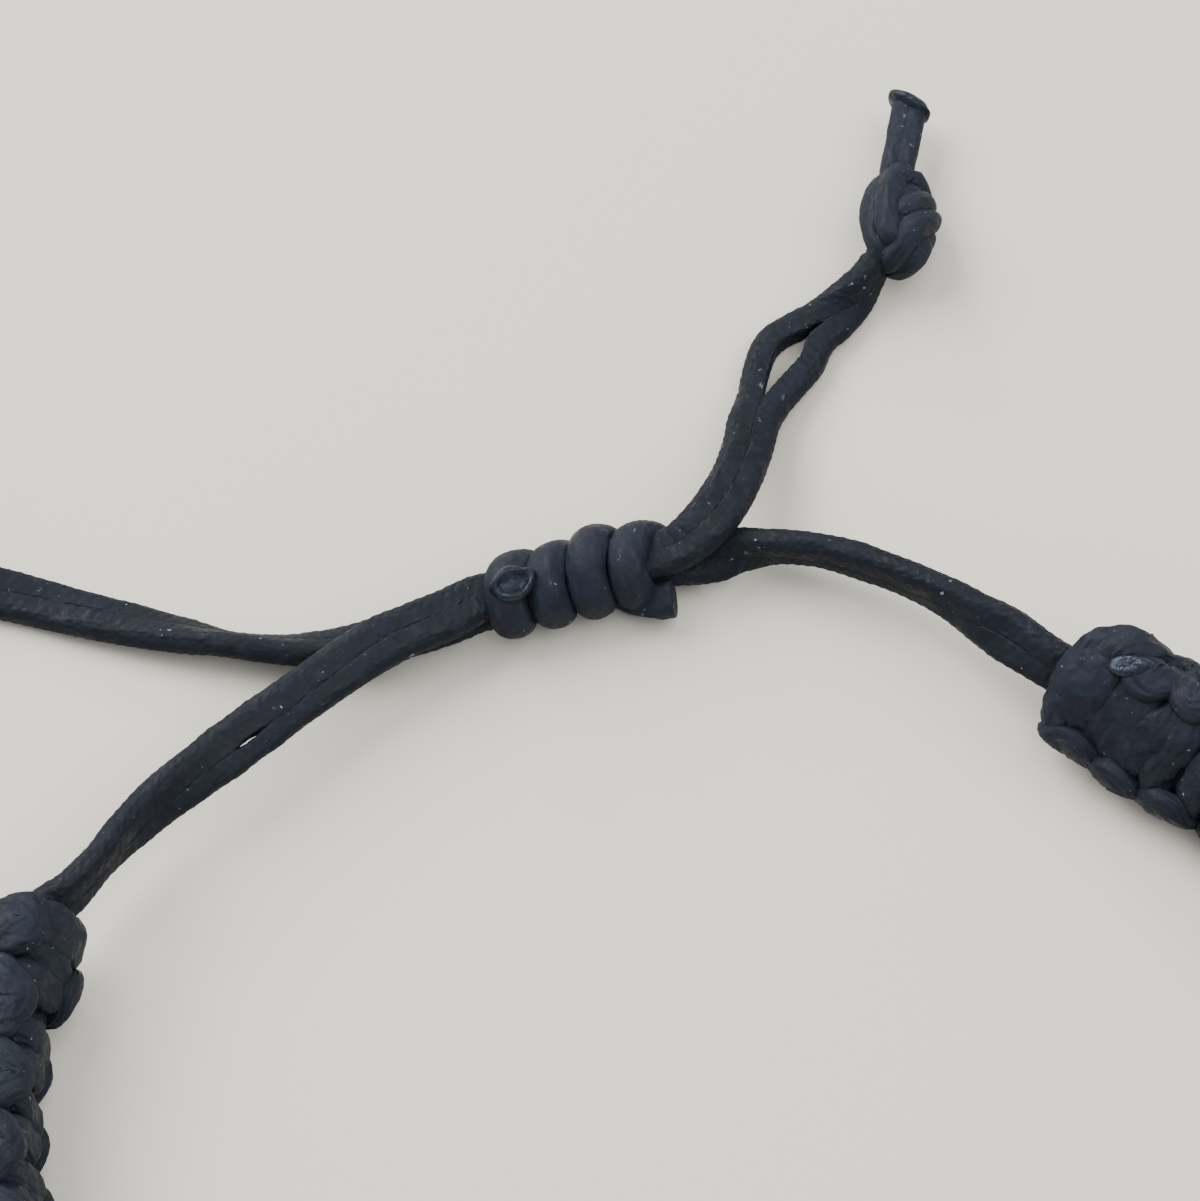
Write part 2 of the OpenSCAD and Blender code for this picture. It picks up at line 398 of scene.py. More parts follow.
closure = {
    # half size towards its neighbour, by the distance between the two
    "cordHalf": [[0.95, 0.55], [1.06, 0.565], [1.17, 0.585], [1.22, 0.53], [1.45, 0.56], [3.0, 0.56]],
    # how far the seam has moved towards the inner cord, by row of the route
    "seam": {"left": [[4.5, 0.0], [6.5, 0.20], [8.5, 0.22], [10.5, 0.0]], "right": [[0, 0.0], [1, 0.0]]},
    "sideHalf": 0.54,
    "square": 0.88,
    "relief": 0.030,        # how far the braid stands out
    "lumps": 0.04,
    "swell": 0.03,          # how much thicker and thinner a cord gets along its way
    "swellsPerRow": 1.3,
    "swellTowards": 0.3,    # the share of this that goes towards its neighbour
    "tuck": 0.4,            # what is left of a pair's size at its end, inside the end knot
    "tuckRows": 1.3,        # rows of the route over which it narrows to that
    "steps": 16,            # points put between two rows of a route
    # each row is [x, y, z of the pair's middle, roll of the pair in degrees, distance between its cords]
    "leftRoute": [
        [-28.17, 12.38, 3.2, 62, 1.06], [-27.85, 13.0, 3.2, 68, 1.06], [-27.05, 13.65, 3.2, 76, 1.06],
        [-26.0, 15.05, 3.1, 88, 1.06], [-24.9, 16.5, 3.0, 74, 1.06], [-23.6, 17.9, 2.95, 55, 1.06],
        [-22.0, 19.3, 2.9, 28, 1.06], [-20.4, 20.7, 2.85, 21, 1.225], [-18.9, 22.0, 2.75, 18, 1.1],
        [-17.1, 23.5, 2.7, 12, 1.1], [-15.2, 25.0, 2.6, 8, 1.15], [-13.6, 25.9, 2.5, 8, 1.06],
        [-12.2, 26.6, 2.4, 5, 1.06], [-11.5, 27.08, 2.32, 3, 1], [-10.8, 27.43, 2.28, 0, 0.95],
        [-9.0, 27.95, 2.28, 0, 0.95], [-7.0, 28.5, 2.28, 0, 0.95], [-5.0, 29.05, 2.28, 0, 0.95],
        [-3.1, 29.6, 2.32, 0, 0.95], [-2.4, 29.92, 2.55, 0, 1], [-1.7, 30.5, 2.88, 2, 1.06],
        [-1.1, 31.3, 2.9, 5, 1.1], [-0.4, 32.8, 2.55, 8, 1.06], [0.1, 34.5, 1.95, 8, 1.06],
        [0.4, 36.0, 1.5, 4, 1.1], [0.8, 37.2, 1.1, 0, 1.17], [1.3, 38.52, 0.75, 0, 1.74],
        [2.0, 39.93, 0.6, 0, 2.2], [2.88, 40.95, 0.6, 3, 1.45], [3.8, 41.65, 0.74, 16, 1.1],
        [4.6, 42.4, 0.95, 50, 1.06], [5.2, 43.1, 1.25, 74, 1.06], [5.7, 43.9, 1.55, 86, 1.06],
        [5.95, 44.6, 1.7, 88, 1.06]],
    "rightRoute": [
        [12.6, 23.78, 3.1, 130, 1.06], [11.8, 24.35, 3.07, 134, 1.06], [10.6, 25.35, 2.95, 140, 1.15],
        [9.5, 26.2, 2.8, 118, 1.06], [8.3, 27.15, 2.7, 98, 1.06], [7.1, 27.9, 2.55, 88, 1.06],
        [5.6, 28.7, 2.4, 86, 1.06], [4.1, 29.38, 2.2, 85, 1.06], [2.8, 29.8, 2.02, 80, 1.06],
        [1.6, 30.03, 1.85, 83, 1.06], [0.6, 30.1, 1.65, 92, 1.06], [-0.4, 30.05, 1.48, 112, 1.06],
        [-1.3, 29.85, 1.32, 145, 1.06], [-2.2, 29.7, 1.26, 170, 1], [-3.1, 29.55, 1.32, 180, 0.95],
        [-5.0, 29.05, 1.33, 180, 0.95], [-7.0, 28.5, 1.33, 180, 0.95], [-9.0, 27.95, 1.33, 180, 0.95],
        [-10.9, 27.45, 1.3, 180, 0.95], [-11.8, 27.15, 1.17, 180, 1], [-12.8, 26.85, 1, 181, 1.06],
        [-14.6, 26.35, 0.82, 188, 1.06], [-16.6, 25.88, 0.82, 208, 1.06], [-18.8, 25.7, 0.95, 230, 1.06],
        [-21.0, 25.9, 1, 240, 1.06], [-23.0, 26.35, 0.9, 222, 1.06], [-25.0, 26.87, 0.78, 206, 1.06],
        [-27.5, 27.55, 0.65, 192, 1.06], [-29.5, 28.15, 0.6, 180, 1.06], [-31.2, 28.55, 0.78, 165, 1.06],
        [-32.6, 28.85, 1.15, 145, 1.06], [-33.7, 29.05, 1.5, 126, 1.06], [-34.6, 29.2, 1.7, 116, 1.06]],
}


def makeClosureCord(name, end, sideOfPair, material):
    rows = smoothRows(closure[end + "Route"], closure["steps"])
    middles = [Vector(row[:3]) for row in rows]
    points = []
    outs = []
    halves = []
    for k, row in enumerate(rows):
        travel = travelAt(middles, k)
        level = up.cross(travel).normalized()
        roll = math.radians(row[3])
        apart = row[4]
        across = math.cos(roll) * level + math.sin(roll) * travel.cross(level)
        fromEnd = (len(rows) - 1 - k) / closure["steps"]
        tuck = closure["tuck"] + (1 - closure["tuck"]) * min(1, fromEnd / closure["tuckRows"])
        seam = lookUp(closure["seam"][end], k / closure["steps"]) / 2
        points.append(middles[k] + across * (sideOfPair * tuck * apart / 2 - seam))
        outs.append(across)
        touching = lookUp(closure["cordHalf"], apart) + seam * sideOfPair
        # the two cords of a pair take their swells from different places
        where = Vector((k / closure["steps"] * closure["swellsPerRow"], sideOfPair * 7, 0))
        swell = closure["swell"] * noise.noise(where)
        halves.append(((touching - closure["relief"] + swell * closure["swellTowards"]) * tuck,
                       (closure["sideHalf"] - closure["relief"] + swell) * tuck))
    shape = bmesh.new()
    sweepCord(shape, points, outs, halves, sides=32, square=closure["square"], relief=closure["relief"],
              pressed=-sideOfPair, lumps=closure["lumps"])
    return finishPiece(name, shape, material), points


def declareCord(piece, points, node, endKnot):
    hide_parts(node)


# End knots: the pair turned round itself and pulled tight, with a short stub and a melted tip

endKnot = {
    # where it sits, and its heading in degrees
    "right": ((6.04, 44.85, 1.7), 80),
    "left": ((-34.85, 29.24, 1.7), 180),
    # along the knot, to its left, up, half distance between the two cords, half size of a cord
    "tie": [
        [-0.5, -0.75, 0.30, 0.36, 0.42], [-0.42, -0.20, 0.72, 0.40, 0.50], [0.25, 0.12, 0.74, 0.44, 0.58],
        [1.3, 0.30, 0.66, 0.46, 0.62], [2.4, 0.22, 0.56, 0.44, 0.60], [3.0, -0.20, 0.36, 0.40, 0.54],
        [2.8, -0.66, -0.05, 0.40, 0.52], [2.2, -0.95, -0.60, 0.38, 0.50], [1.3, -0.80, -0.92, 0.38, 0.50],
        [0.3, -0.25, -0.98, 0.38, 0.50],
        [-0.65, -0.20, -0.60, 0.38, 0.50], [-1.00, -0.70, 0.05, 0.38, 0.52], [-0.65, -1.10, 0.60, 0.40, 0.56],
        [0.10, -1.32, 0.70, 0.42, 0.60], [0.72, -1.70, 0.25, 0.40, 0.54], [0.95, -1.45, -0.50, 0.36, 0.46],
        [0.80, -0.60, -0.40, 0.34, 0.44], [0.90, -0.05, 0.50, 0.36, 0.48], [1.40, -0.50, 0.90, 0.40, 0.54],
        [1.90, -0.98, 0.66, 0.40, 0.54], [2.15, -1.12, 0.05, 0.38, 0.50], [2.3, -0.85, -0.35, 0.34, 0.44],
        [2.8, -0.25, -0.05, 0.28, 0.48], [3.6, -0.03, 0.0, 0.23, 0.52], [4.6, -0.06, 0.0, 0.21, 0.54],
        [5.8, -0.08, 0.0, 0.21, 0.55], [6.8, -0.08, 0.0, 0.21, 0.56]],
    "steps": 7,
    "stubFrom": 3,          # from here along the knot on, the two cords lie side by side, level
    "square": 0.84,
    "lumps": 0.07,
    "heart": ((1.0, -0.50, 0.1), (2.25, 1.42, 1.28), 0.12),     # middle, half sizes, drift to the left
    "tip": ((6.95, -0.06, 0.0), (0.42, 0.98, 0.85)),            # middle, half sizes
    "tipSlant": 0.36,
    "tipLumps": 0.09,
    "tipLumpScale": 1.9,
}


def makeEndKnot(name, place, heading, cordMaterial, meltMaterial):
    heading = math.radians(heading)
    ahead = Vector((math.cos(heading), math.sin(heading), 0))
    left = Vector((-math.sin(heading), math.cos(heading), 0))
    origin = Vector(place)

    def put(spot):
        return origin + ahead * spot.x + left * spot.y + up * spot.z

    rows = smoothRows(endKnot["tie"], endKnot["steps"])
    line = [Vector(row[:3]) for row in rows]
    middle, heartHalf, drift = endKnot["heart"]
    middle = Vector(middle)
    shape = bmesh.new()
    for cord in (-1, 1):
        points = []
        outs = []
        for k, row in enumerate(rows):
            travel = travelAt(line, k)
            away = line[k] - middle if line[k].x < endKnot["stubFrom"] else up
            side = travel.cross(away).normalized()
            points.append(put(line[k] + side * cord * row[3]))
            outs.append(put(side.cross(travel)) - origin)
        sweepCord(shape, points, outs, [(row[4], row[4]) for row in rows], sides=22,
                  square=endKnot["square"], lumps=endKnot["lumps"])
    # what is packed inside the knot
    heart = bmesh.ops.create_uvsphere(shape, u_segments=24, v_segments=14, radius=1)["verts"]
    for vert in heart:
        spot = middle + Vector([a * b for a, b in zip(vert.co, heartHalf)])
        spot.y += drift * (spot.x - middle.x)
        vert.co = put(spot) * mm
    piece = finishPiece(name, shape, cordMaterial)

    # the melted tip is a small slanting flange
    tipPlace, tipHalf = endKnot["tip"]
    tip = bmesh.new()
    bmesh.ops.create_uvsphere(tip, u_segments=36, v_segments=20, radius=1)
    for vert in tip.verts:
        bulge = 1 + endKnot["tipLumps"] * noise.noise(vert.co * endKnot["tipLumpScale"] + origin)
        spot = Vector([a * b * bulge for a, b in zip(vert.co, tipHalf)])
        spot.x += endKnot["tipSlant"] * spot.y
        vert.co = put(Vector(tipPlace) + spot) * mm
    melt = finishPiece(name + "_tip", tip, meltMaterial)
    print(name, "tied")
    return piece, melt


# Sliding knot: four turns of cord round the four closure cords, a melted button and a cut stub

slidingKnot = {
    "middle": (-7, 28.5, 1.8),
    "heading": 15.4,
    "turns": 4,
    "stepsPerTurn": 44,
    "startAngle": -150,     # in degrees round the knot, from the side that faces the camera
    "pitch": 1.73,
    "bow": 0.6,             # how far the front of a turn sits back towards the left band end
    "skew": 0.16,           # how much further along its lower edge sits
    "shift": 0.04,
    "reach": 1.13,          # distance of the wrapping cord's middle from the axis
    "halfThick": 0.67,
    "halfWide": 0.86,
    # how much further out its upper side sits, by the angle that the winding has come to
    "swell": [[0, 0.02], [300, 0.0], [640, 0.0], [790, 0.34], [900, 0.10], [1080, 0.0], [1400, 0.0]],
    "uneven": 0.04,         # how much its thickness varies
    "unevenEvery": 150,     # in degrees
    "lumps": 0.03,
    # the cut stub: along the knot, distance from its axis, angle round it, half size
    "stub": [[1.3, 1.1, -140, 0.5], [2.0, 1.3, -112, 0.60], [2.7, 1.5, -93, 0.70],
             [3.3, 1.68, -84, 0.76], [3.7, 1.75, -80, 0.78]],
    "stubSteps": 6,
    "stubSquare": 0.8,
    "stubLumps": 0.12,
    "core": [-2.7, -1.3, 0, 1.2, 2.4],      # along the knot
    "coreHalf": 1.0,
    # the button's turned profile: distance from its axis, height
    "button": [(0, 0.02), (0.25, 0.03), (0.46, 0.09), (0.62, 0.21), (0.77, 0.33), (0.90, 0.26),
               (1.0, 0.06), (1.0, -0.20), (0.9, -0.45), (0, -0.5)],
    "buttonPlace": (-2.70, 16, 1.74),       # along the knot, angle round it, distance from its axis
    "buttonHalf": (0.97, 0.74),             # along the knot, round it
    "buttonLump": (0.24, 1.1),              # how uneven its outline is, and the scale of that
    "buttonRim": (0.20, 1.4),               # the same for its height
}


def slidingKnotFrame():
    heading = math.radians(slidingKnot["heading"])
    ahead = Vector((math.cos(heading), math.sin(heading), 0))
    tilt = math.radians(cameraView["elevation"])
    towards = Vector((0, -math.cos(tilt), math.sin(tilt)))
    front = (towards - ahead * towards.dot(ahead)).normalized()
    return Vector(slidingKnot["middle"]), ahead, front, front.cross(ahead)


def makeSlidingKnot(cordMaterial, meltMaterial):
    knot = slidingKnot
    middle, ahead, front, top = slidingKnotFrame()

    def radial(angle):
        a = math.radians(angle)
        return front * math.cos(a) + top * math.sin(a)

    points = []
    outs = []
    halves = []
    for k in range(knot["turns"] * knot["stepsPerTurn"] + 1):
        angle = 360 * k / knot["stepsPerTurn"] + knot["startAngle"]
        a = math.radians(angle)
        along = knot["pitch"] * (angle / 360 - knot["turns"] / 2 + 0.5) - knot["bow"] * math.cos(a)
        along += knot["shift"] - knot["skew"] * math.sin(a)
        reach = knot["reach"] + lookUp(knot["swell"], angle) * max(0, math.sin(a))
        points.append(middle + ahead * along + radial(angle) * reach)
        outs.append(radial(angle))
        uneven = 1 + knot["uneven"] * noise.noise(Vector((angle / knot["unevenEvery"], 3.1, 0)))
        halves.append((knot["halfThick"] * uneven, knot["halfWide"]))
    shape = bmesh.new()
    sweepCord(shape, points, outs, halves, sides=24, lumps=knot["lumps"])
    # the stub comes out under the last turn, and points along the knot
    rows = smoothRows(knot["stub"], knot["stubSteps"])
    stub = [middle + ahead * along + radial(angle) * reach for along, reach, angle, half in rows]
    sweepCord(shape, stub, [radial(row[2]) for row in rows], [(row[3], row[3]) for row in rows], sides=24,
              cutEnd=True, square=knot["stubSquare"], lumps=knot["stubLumps"])
    # a dark core shows between the turns, and carries them
    core = [middle + ahead * along for along in knot["core"]]
    coreHalves = [(knot["coreHalf"], knot["coreHalf"])] * len(core)
    sweepCord(shape, core, [front] * len(core), coreHalves, sides=20)
    piece = finishPiece("sliding_knot_wraps", shape, cordMaterial)
    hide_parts("sliding_knot")

    # the button is a turned melt, with a raised rim round a dished middle
    button = bmesh.new()
    verts = [button.verts.new((x, 0, z)) for x, z in knot["button"]]
    edges = [button.edges.new(pair) for pair in zip(verts, verts[1:])]
    bmesh.ops.spin(button, geom=verts + edges, cent=(0, 0, 0), axis=(0, 0, 1), angle=math.tau, steps=40,
                   use_merge=True)
    bmesh.ops.remove_doubles(button, verts=button.verts, dist=1e-4)
    bmesh.ops.recalc_face_normals(button, faces=button.faces)
    along, angle, reach = knot["buttonPlace"]
    buttonOut = radial(angle)
    buttonMiddle = middle + ahead * along + buttonOut * reach
    sideways = buttonOut.cross(ahead).normalized()
    alongHalf, sideHalf = knot["buttonHalf"]
    lump, lumpScale = knot["buttonLump"]
    rim, rimScale = knot["buttonRim"]
    for vert in button.verts:
        x, y, z = vert.co
        outline = 1 + lump * noise.noise(Vector((x, y, 2)) * lumpScale)
        height = z + rim * noise.noise(Vector((x * rimScale, y * rimScale, 7)))
        vert.co = (buttonMiddle + ahead * x * alongHalf * outline + sideways * y * sideHalf * outline
                   + buttonOut * height) * mm
    melt = finishPiece("sliding_knot_button", button, meltMaterial)
    print("sliding knot wrapped")


# Band: square knots tied by two strands round the pair of core cords

band = {
    "start": (-28.2, 12.3, -110),   # where the left end starts, and its heading in degrees
    "arcs": [[8, 22], [8, 8], [48, 86], [36, 77], [30, 62], [7, 0]],    # length, turn to the left
    # outward lean in degrees, by the distance along the band
    "lean": [[0, 22], [1.2, 22], [2.2, 29], [3.2, 24], [5.6, 3], [7.5, 4], [9, 9], [12, 15], [40, 8], [95, 8],
             [118, 22], [130, 38], [137, 40]],
    "width": 6.2,
    "thickness": 3.7,
    # the section of the solid band, which sets how high the leaning band lies
    "section": {"sides": 12, "square": 0.65, "loopRelief": 0.07, "knotDip": 0.12},
    "frameStep": 0.5,               # between the places that are worked out along the band
    "frameMargin": 2,               # how far these go on past its ends
    "core": (0.98, 0.92, 1.18),     # place off the middle, half thickness, half width
    "coreInset": (0.5, 1.5),        # how far from the band's two ends it stays
    "coreSquare": 0.8,
    # bars across the front: three at each end, and between them 85 that pair up with a neighbour
    "leftBars": [0.8, 1.75, 2.85],
    "rightBars": [133.4, 134.35, 135.35],
    "firstPair": 5.93,              # distance along the band of the middle of the first pair
    "spacing": 1.5155,
    "midBars": 85,
    "pairing": [[10, -0.22], [125, 0.24]],      # how far a bar leans towards its neighbour
    # how far a bar runs back along the band for each millimetre across it, from slantFrom upwards
    "slant": [[0, 0.0], [70, 0.0], [100, 0.12], [128, 0.30], [137, 0.24]],
    "slantFrom": -0.6,
    # how much wider or narrower the knots are than the rest, above and below the middle
    "girth": [[-2, 0.92], [12, 0.92], [30, 0.97], [110, 1.0], [130, 1.06], [133, 1.09], [137, 1.07]],
    "lowerGirth": [[-2, 0.92], [12, 0.92], [30, 0.97], [110, 1.0], [124, 1.09], [132, 1.15], [134.5, 1.10],
                   [137, 1.07]],
    # how much broader its cord lies, towards the two ends
    "stout": [[-2, 1.18], [3, 1.18], [7, 1.03], [126, 1.03], [132, 1.14], [134.2, 1.26], [135, 1.5],
              [137, 1.5]],
    # what chance changes from bar to bar: thickness, height over the core, place along the band
    "plump": (-0.06, 0.07),
    "lift": (-0.08, 0.08),
    "jitter": (-0.07, 0.07),
    "liftEnds": 2.2,                # distance across at which a bar has lost its lift
    "chanceSeeds": {1: 11, -1: 12},             # for the front strand and the back one
    "steps": 5,
    "square": 0.88,
    "lumps": 0.17,
    "wander": 0.26,                 # how far the strands stray from their neat places
    "wanderScale": 0.45,
    "wanderSeed": 33,
    # half of one bar of a strand, from its middle to the side loop; the other half is turned round it.
    # across the width, depth, along, angle that its thin side faces, half thickness, half width
    "bar": [
        [0.00, 1.14, 0.00, 90, 0.52, 0.82], [0.80, 1.10, 0.06, 84, 0.52, 0.78],
        [1.50, 0.86, 0.14, 60, 0.53, 0.64], [2.06, 0.05, 0.26, 5, 0.56, 0.52]],
    # the side loop, past the bar's own rows; along is measured from the loop's middle
    "loop": [[2.22, -0.66, 0.72, -28, 0.55, 0.64], [2.04, -1.08, 0.0, -50, 0.54, 0.72]],
    "endLoop": 0.7,                 # from the first and the last bar to where a loop's middle would be
    # an end of a strand turns in to the core: across the width, depth, along
    "tuck": [[1.5, -0.75, 0.15], [0.6, -0.35, -0.35], [0.0, 0.0, -0.9]],
    "tuckFaces": -30,
    "tuckHalf": 0.46,
}


def bandLength():
    return sum(length for length, turn in band["arcs"])


# where the band's middle is, s millimetres from its left end, and its heading there
def centreLine(s):
    x, y, heading = band["start"]
    heading = math.radians(heading)
    for n, (length, turn) in enumerate(band["arcs"], 1):
        # the last arc, which is straight, goes on past its own length
        go = s if n == len(band["arcs"]) else min(s, length)
        bend = math.radians(turn) / length
        ahead = heading + bend * go
        if bend:
            x += (math.sin(ahead) - math.sin(heading)) / bend
            y -= (math.cos(ahead) - math.cos(heading)) / bend
        else:
            x += go * math.cos(heading)
            y += go * math.sin(heading)
        heading = ahead
        s -= go
        if s <= 0:
            break
    return x, y, heading


# how far down the section of the leaning band reaches from its middle, at any place in a knot
def sectionReach(lean):
    section = band["section"]
    reach = 0
    for swing in (1, 0, -1):
        for i in range(section["sides"]):
            a = -math.tau * i / section["sides"]
            relief = 1 - section["loopRelief"] * math.sin(2 * a) * swing
            relief -= section["knotDip"] * math.sin(a) ** 2 * (1 + swing) / 2
            x = band["width"] / 2 * relief * squarer(math.cos(a), section["square"])
            y = band["thickness"] / 2 * relief * squarer(math.sin(a), section["square"])
            reach = max(reach, -x * math.cos(lean) - y * math.sin(lean))
    return reach


def bandFrames():
    step, margin = band["frameStep"], band["frameMargin"]
    frames = []
    for k in range(round(-margin / step), round((bandLength() + margin) / step) + 1):
        s = k * step
        x, y, heading = centreLine(max(s, 0.0))
        ahead = Vector((math.cos(heading), math.sin(heading), 0))
        if s < 0:
            x += s * ahead.x
            y += s * ahead.y
        lean = math.radians(lookUp(band["lean"], s))
        outward = Vector((math.sin(heading), -math.cos(heading), 0))
        widthWay = math.sin(lean) * outward + math.cos(lean) * up
        innerWay = -math.cos(lean) * outward + math.sin(lean) * up
        frames.append((Vector((x, y, sectionReach(lean))), widthWay, innerWay))
    return frames


# x is across the width, y is towards the inside of the loop, s is along the band
def onBand(frames, x, y, s):
    k = (s + band["frameMargin"]) / band["frameStep"]
    k = max(0.0, min(len(frames) - 1.001, k))
    i = int(k)
    u = k - i
    a, b = frames[i], frames[i + 1]
    middle = a[0].lerp(b[0], u)
    widthWay = a[1].lerp(b[1], u).normalized()
    innerWay = a[2].lerp(b[2], u).normalized()
    return middle + widthWay * x + innerWay * y, widthWay, innerWay


def layOnBand(frames, rows):
    points = []
    outs = []
    halves = []
    for x, y, s, angle, thick, wide in rows:
        point, widthWay, innerWay = onBand(frames, x, y, s)
        a = math.radians(angle)
        points.append(point)
        outs.append(widthWay * math.cos(a) + innerWay * math.sin(a))
        halves.append((thick, wide))
    return points, outs, halves


def bandBars():
    bars = list(band["leftBars"])
    for k in range(band["midBars"]):
        place = band["firstPair"] + band["spacing"] * (k - 0.5)
        bars.append(place + (-1) ** (k + 1) * lookUp(band["pairing"], place))
    return bars + band["rightBars"]


# One strand's rows from loop to loop. The front strand crosses in front of the core and turns at
# the back corners, and the back strand is the same one turned half round the band
def strandRows(facing, chance):
    bars = bandBars()
    last = len(bars) - 1
    corner, apex = band["loop"]
    faces, tuckHalf = band["tuckFaces"], band["tuckHalf"]
    path = []
    for n, place in enumerate(bars):
        side = 1 if n % 2 == 0 else -1
        before = (bars[n - 1] + place) / 2 if n else place - band["endLoop"]
        after = (place + bars[n + 1]) / 2 if n < last else place + band["endLoop"]
        plump = 1 + chance.uniform(*band["plump"])
        lift = chance.uniform(*band["lift"])
        jitter = chance.uniform(*band["jitter"])
        half = []
        for x, y, s, angle, thick, wide in band["bar"]:
            lifted = y + lift * (1 - x / band["liftEnds"])
            half.append([x, lifted, s + jitter, angle, thick * plump, wide * plump])
        if n == 0:
            rows = [[x, y, place + s, faces, tuckHalf, tuckHalf] for x, y, s in reversed(band["tuck"])]
        else:
            rows = [[apex[0], apex[1], before, *apex[3:]],
                    [corner[0], corner[1], before + corner[2], *corner[3:]]]
        rows += [[x, y, place + s, angle, thick, wide] for x, y, s, angle, thick, wide in reversed(half[1:])]
        rows += [[-x, y, place - s, 180 - angle, thick, wide] for x, y, s, angle, thick, wide in half]
        if n == last:
            rows += [[-x, y, place - s, 180 - faces, tuckHalf, tuckHalf] for x, y, s in band["tuck"]]
        else:
            rows.append([-corner[0], corner[1], after - corner[2], 180 - corner[3], *corner[4:]])
        for x, y, s, angle, thick, wide in rows:
            if side < 0:
                x, angle = -x, 180 - angle
            if facing < 0:
                x, y, angle = -x, -y, angle + 180
            # each angle carries on from the last one, so that smoothing doesn't spin it
            if path:
                angle += 360 * round((path[-1][3] - angle) / 360)
            broad = wide * lookUp(band["stout"], s)
            slanted = s - lookUp(band["slant"], s) * max(x, band["slantFrom"])
            girth = lookUp(band["girth" if x > 0 else "lowerGirth"], s)
            path.append([x * girth, y, slanted, angle, thick, broad])
    return path


def makeBandStrand(name, frames, facing, material):
    rows = strandRows(facing, random.Random(band["chanceSeeds"][facing]))
    points, outs, halves = layOnBand(frames, smoothRows(rows, band["steps"]))
    noise.seed_set(band["wanderSeed"])      # noise_vector starts from the clock when it has no seed
    points = [p + band["wander"] * noise.noise_vector(p * band["wanderScale"]) for p in points]
    shape = bmesh.new()
    length = sweepCord(shape, points, outs, halves, sides=16, square=band["square"], lumps=band["lumps"])
    piece = finishPiece(name, shape, material)
    print(name, "takes", round(length), "mm of cord,", len(piece.data.polygons), "faces")
    return piece


def makeBandCore(name, frames, side, material):
    offset, thick, wide = band["core"]
    fromLeft, fromRight = band["coreInset"]
    steps = round(bandLength())
    points = []
    outs = []
    for k in range(steps + 1):
        s = fromLeft + k * (bandLength() - fromLeft - fromRight) / steps
        point, widthWay, innerWay = onBand(frames, side * offset, 0, s)
        points.append(point)
        outs.append(innerWay)
    shape = bmesh.new()
    sweepCord(shape, points, outs, [(thick, wide)] * len(points), sides=12, square=band["coreSquare"])
    piece = finishPiece(name, shape, material)


# the last lap of each strand lies over the end of the band, from back to front
bandCap = {
    "steps": 8,
    "square": 0.9,
    "lumps": 0.14,
    # across the width, depth, along, angle that its thin side faces, half thickness, half width
    "laps": {
        "band_cap_right": [
            [-2.25, 0.35, 135.65, 155, 0.42, 0.60], [-1.65, 0.9, 135.85, 132, 0.48, 0.74],
            [-0.95, 1.14, 135.98, 112, 0.52, 0.84], [-0.1, 1.1, 136.02, 100, 0.54, 0.90],
            [1.0, 0.98, 135.9, 82, 0.54, 1.0], [2.0, 0.85, 135.55, 55, 0.52, 1.0],
            [2.62, 0.55, 135.0, 30, 0.48, 0.92], [2.8, 0.1, 134.3, 8, 0.46, 0.80],
            [2.55, -0.5, 133.6, -14, 0.44, 0.66], [1.9, -1.0, 133.2, -40, 0.40, 0.5]],
        "band_cap_left": [
            [-1.7, -0.6, 0.85, 215, 0.40, 0.80], [-1.94, 0.34, 0.58, 160, 0.48, 1.10],
            [-1.2, 1.02, 0.25, 115, 0.48, 1.02], [0.0, 1.20, 0.40, 92, 0.48, 1.05],
            [1.2, 1.10, 0.70, 78, 0.50, 1.08], [2.05, 0.65, 0.95, 42, 0.52, 1.05],
            [2.35, -0.1, 1.15, 0, 0.48, 0.9], [1.8, -0.9, 1.2, -50, 0.42, 0.7]],
    },
}


def makeBandCap(name, frames, material):
    points, outs, halves = layOnBand(frames, smoothRows(bandCap["laps"][name], bandCap["steps"]))
    shape = bmesh.new()
    sweepCord(shape, points, outs, halves, sides=28, square=bandCap["square"], lumps=bandCap["lumps"])
    piece = finishPiece(name, shape, material)


# the melted lump that holds the strands at the band's right end
bandMelt = {
    "place": (2.33, 1.36, 134.15),      # across the width, depth, along
    "faces": 62,
    "turn": 32,
    "half": (0.94, 0.46, 0.44),
    "lumps": 0.10,
    "lumpScale": 1.7,
    "sunk": 0.45,                       # the middle has sunk, so that a rim stands round it
    "sunkReach": 0.6,
}


def makeBandMelt(name, frames, material):
    x, y, s = bandMelt["place"]
    place, widthWay, innerWay = onBand(frames, x, y, s)
    ahead = (onBand(frames, x, y, s + band["frameStep"])[0] - place).normalized()
    a = math.radians(bandMelt["faces"])
    out = widthWay * math.cos(a) + innerWay * math.sin(a)
    level = out.cross(ahead).normalized()
    t = math.radians(bandMelt["turn"])
    first = ahead * math.cos(t) + level * math.sin(t)
    second = out.cross(first)
    half = bandMelt["half"]
    reach = bandMelt["sunkReach"]
    shape = bmesh.new()
    bmesh.ops.create_uvsphere(shape, u_segments=36, v_segments=22, radius=1)
    for vert in shape.verts:
        lump = noise.noise(vert.co * bandMelt["lumpScale"] + Vector((s, 0, 0)))
        spot = vert.co * (1 + bandMelt["lumps"] * lump)
        if spot.z > 0:
            sunk = bandMelt["sunk"] * math.exp(-((spot.x / reach) ** 2 + (spot.y / reach) ** 2))
        else:
            sunk = 0
        vert.co = (place + first * spot.x * half[0] + second * spot.y * half[1]
                   + out * (spot.z - sunk) * half[2]) * mm
    piece = finishPiece(name, shape, material)


# Floor and light, in metres

